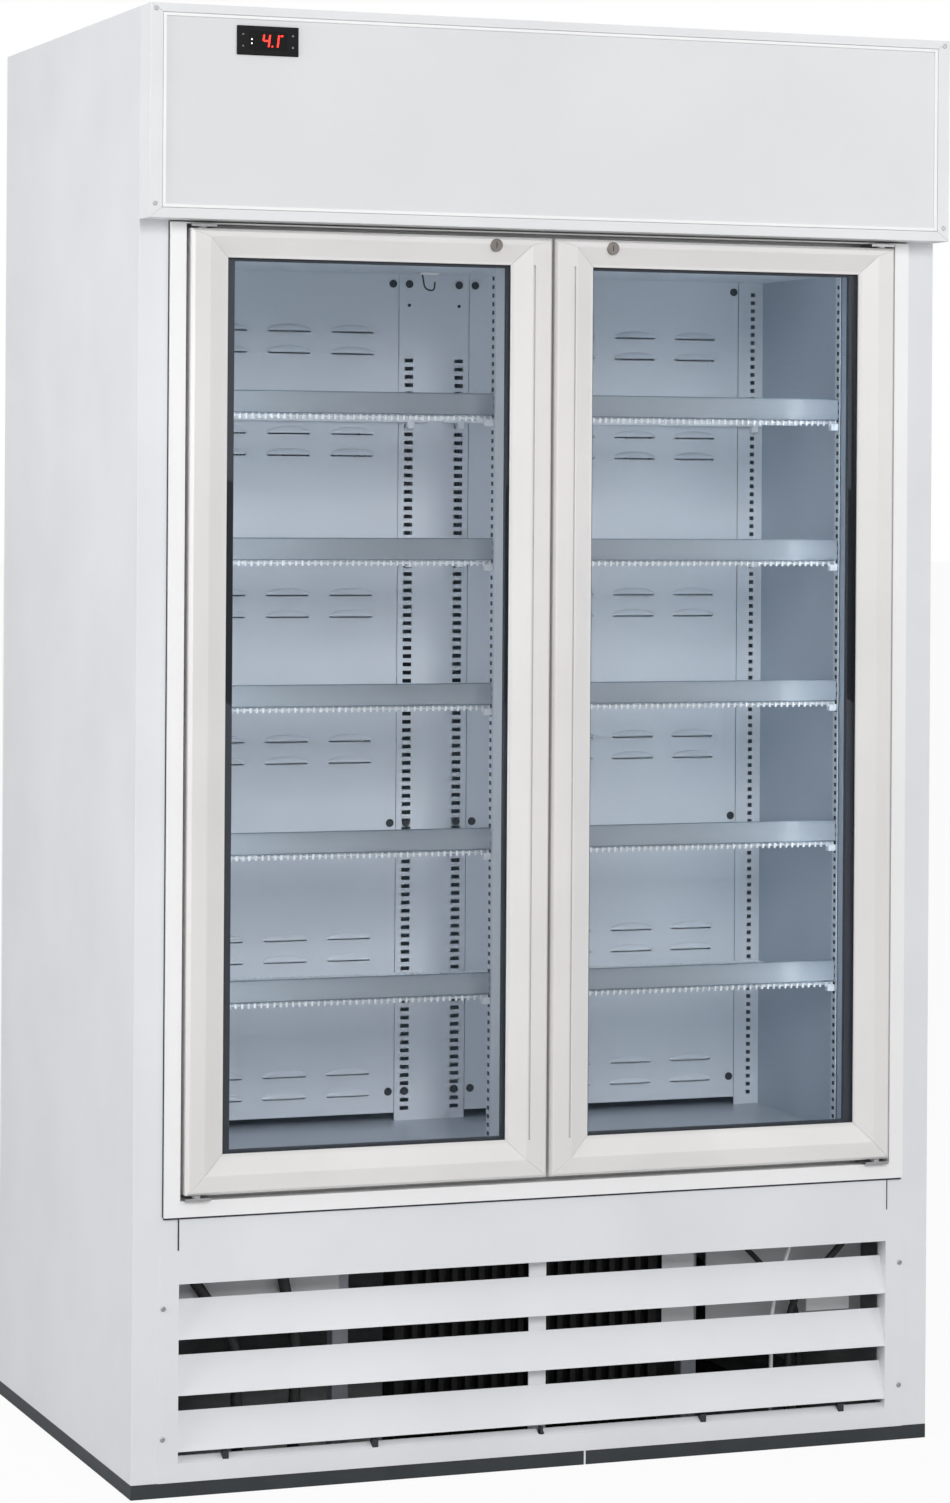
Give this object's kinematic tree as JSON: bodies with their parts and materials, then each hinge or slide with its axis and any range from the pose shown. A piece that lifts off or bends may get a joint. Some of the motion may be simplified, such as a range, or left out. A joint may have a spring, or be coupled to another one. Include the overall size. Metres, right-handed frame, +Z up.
{
  "type": "glass-door display cooler",
  "caption": "Upright display cooler with hinged framed glass doors, coated wire shelves, a projecting sign canopy, a louvred front grille and a refrigeration unit in its base",
  "frame": {"origin": "centre of the bounding box at floor level", "axes": "+Z up, doors face -Y, +X to the viewer's right"},
  "size_m": [1.2, 0.78, 2.03],
  "materials": {
    "white_paint": "satin powder coat",
    "plinth_dark": "dark matt paint",
    "zinc_sheet": "galvanised sheet",
    "foot_black": "black moulded rubber",
    "foam": "poured polyurethane foam",
    "liner_paint": "pale grey coated sheet",
    "surround_white": "white extrusion",
    "door_white": "warm white extrusion",
    "glass": "clear double glazing",
    "gasket": "grey magnetic seal",
    "hinge_steel": "zinc-plated steel",
    "lock_chrome": "nickel plate",
    "shelf_wire": "white coated wire",
    "guard_clear": "clear strip",
    "sign_panel": "blank translucent sign sheet",
    "thermostat_black": "black display module",
    "lamp_white": "white lamp",
    "coil_dark": "blackened fins",
    "coil_bright": "bare fins",
    "machine_black": "black enamel",
    "fan_black": "black moulded blades"
  },
  "bodies": {
    "cabinet": {"plinth": "plinth_dark", "levelling_feet": "foot_black", "base_tray": "zinc_sheet", "left_side_panel": "white_paint", "right_side_panel": "white_paint", "rear_panel": "zinc_sheet", "top_panel": "white_paint", "machine_deck": "zinc_sheet", "ceiling_deck": "zinc_sheet", "foam_insulation": "foam", "rear_service_grille": "zinc_sheet", "liner_walls": "liner_paint", "liner_back": "liner_paint", "liner_ceiling": "liner_paint", "liner_floor": "liner_paint", "surround_frame": "surround_white", "centre_mullion": "surround_white", "rear_standards": "liner_paint", "left_duct_panel": "liner_paint", "right_duct_panel": "liner_paint", "front_standards": "liner_paint", "centre_shelf_post": "liner_paint", "shelf_guards": "guard_clear", "shelf_clips": "shelf_wire", "louvre_grille": "white_paint", "deck_posts": "zinc_sheet", "canopy_frame": "white_paint", "canopy_sign_panel": "sign_panel", "thermostat": "thermostat_black", "sign_lamp": "lamp_white", "interior_lamps": "lamp_white", "hinge_brackets": "hinge_steel", "condenser_coil": "coil_dark", "condenser_shroud": "machine_black", "condenser_fan_motor": "machine_black", "compressor": "machine_black", "evaporator_coil": "coil_bright", "evaporator_fan_motor": "machine_black", "left_shelf_1": "shelf_wire", "left_shelf_2": "shelf_wire", "left_shelf_3": "shelf_wire", "left_shelf_4": "shelf_wire", "left_shelf_5": "shelf_wire", "right_shelf_1": "shelf_wire", "right_shelf_2": "shelf_wire", "right_shelf_3": "shelf_wire", "right_shelf_4": "shelf_wire", "right_shelf_5": "shelf_wire"},
    "left_door": {"left_door_frame": "door_white", "left_door_glazing": "glass", "left_door_gasket": "gasket", "left_lock_barrel": "lock_chrome"},
    "left_lock": {"left_lock_plug": "lock_chrome"},
    "right_door": {"right_door_frame": "door_white", "right_door_glazing": "glass", "right_door_gasket": "gasket", "right_lock_barrel": "lock_chrome"},
    "right_lock": {"right_lock_plug": "lock_chrome"},
    "condenser_fan": {"condenser_fan": "fan_black"},
    "evaporator_fan": {"evaporator_fan": "fan_black"}
  },
  "joints": [
    {"name": "left_door_hinge", "type": "hinge", "parent": "cabinet", "child": "left_door", "pos_m": [-0.512, -0.348, 0.412], "axis": [0, 0, -1], "range_deg": [0, 105]},
    {"name": "left_lock_turn", "type": "hinge", "parent": "left_door", "child": "left_lock", "pos_m": [-0.088, -0.36, 1.718], "axis": [0, 1, 0], "range_deg": [0, 90]},
    {"name": "right_door_hinge", "type": "hinge", "parent": "cabinet", "child": "right_door", "pos_m": [0.512, -0.348, 0.412], "axis": [0, 0, 1], "range_deg": [0, 105]},
    {"name": "right_lock_turn", "type": "hinge", "parent": "right_door", "child": "right_lock", "pos_m": [0.088, -0.36, 1.718], "axis": [0, -1, 0], "range_deg": [0, 90]},
    {"name": "condenser_fan_spin", "type": "hinge", "parent": "cabinet", "child": "condenser_fan", "pos_m": [0, -0.21, 0.1862], "axis": [0, 1, 0], "continuous": true},
    {"name": "evaporator_fan_spin", "type": "hinge", "parent": "cabinet", "child": "evaporator_fan", "pos_m": [0, 0.246, 1.05], "axis": [0, 1, 0], "continuous": true}
  ]
}
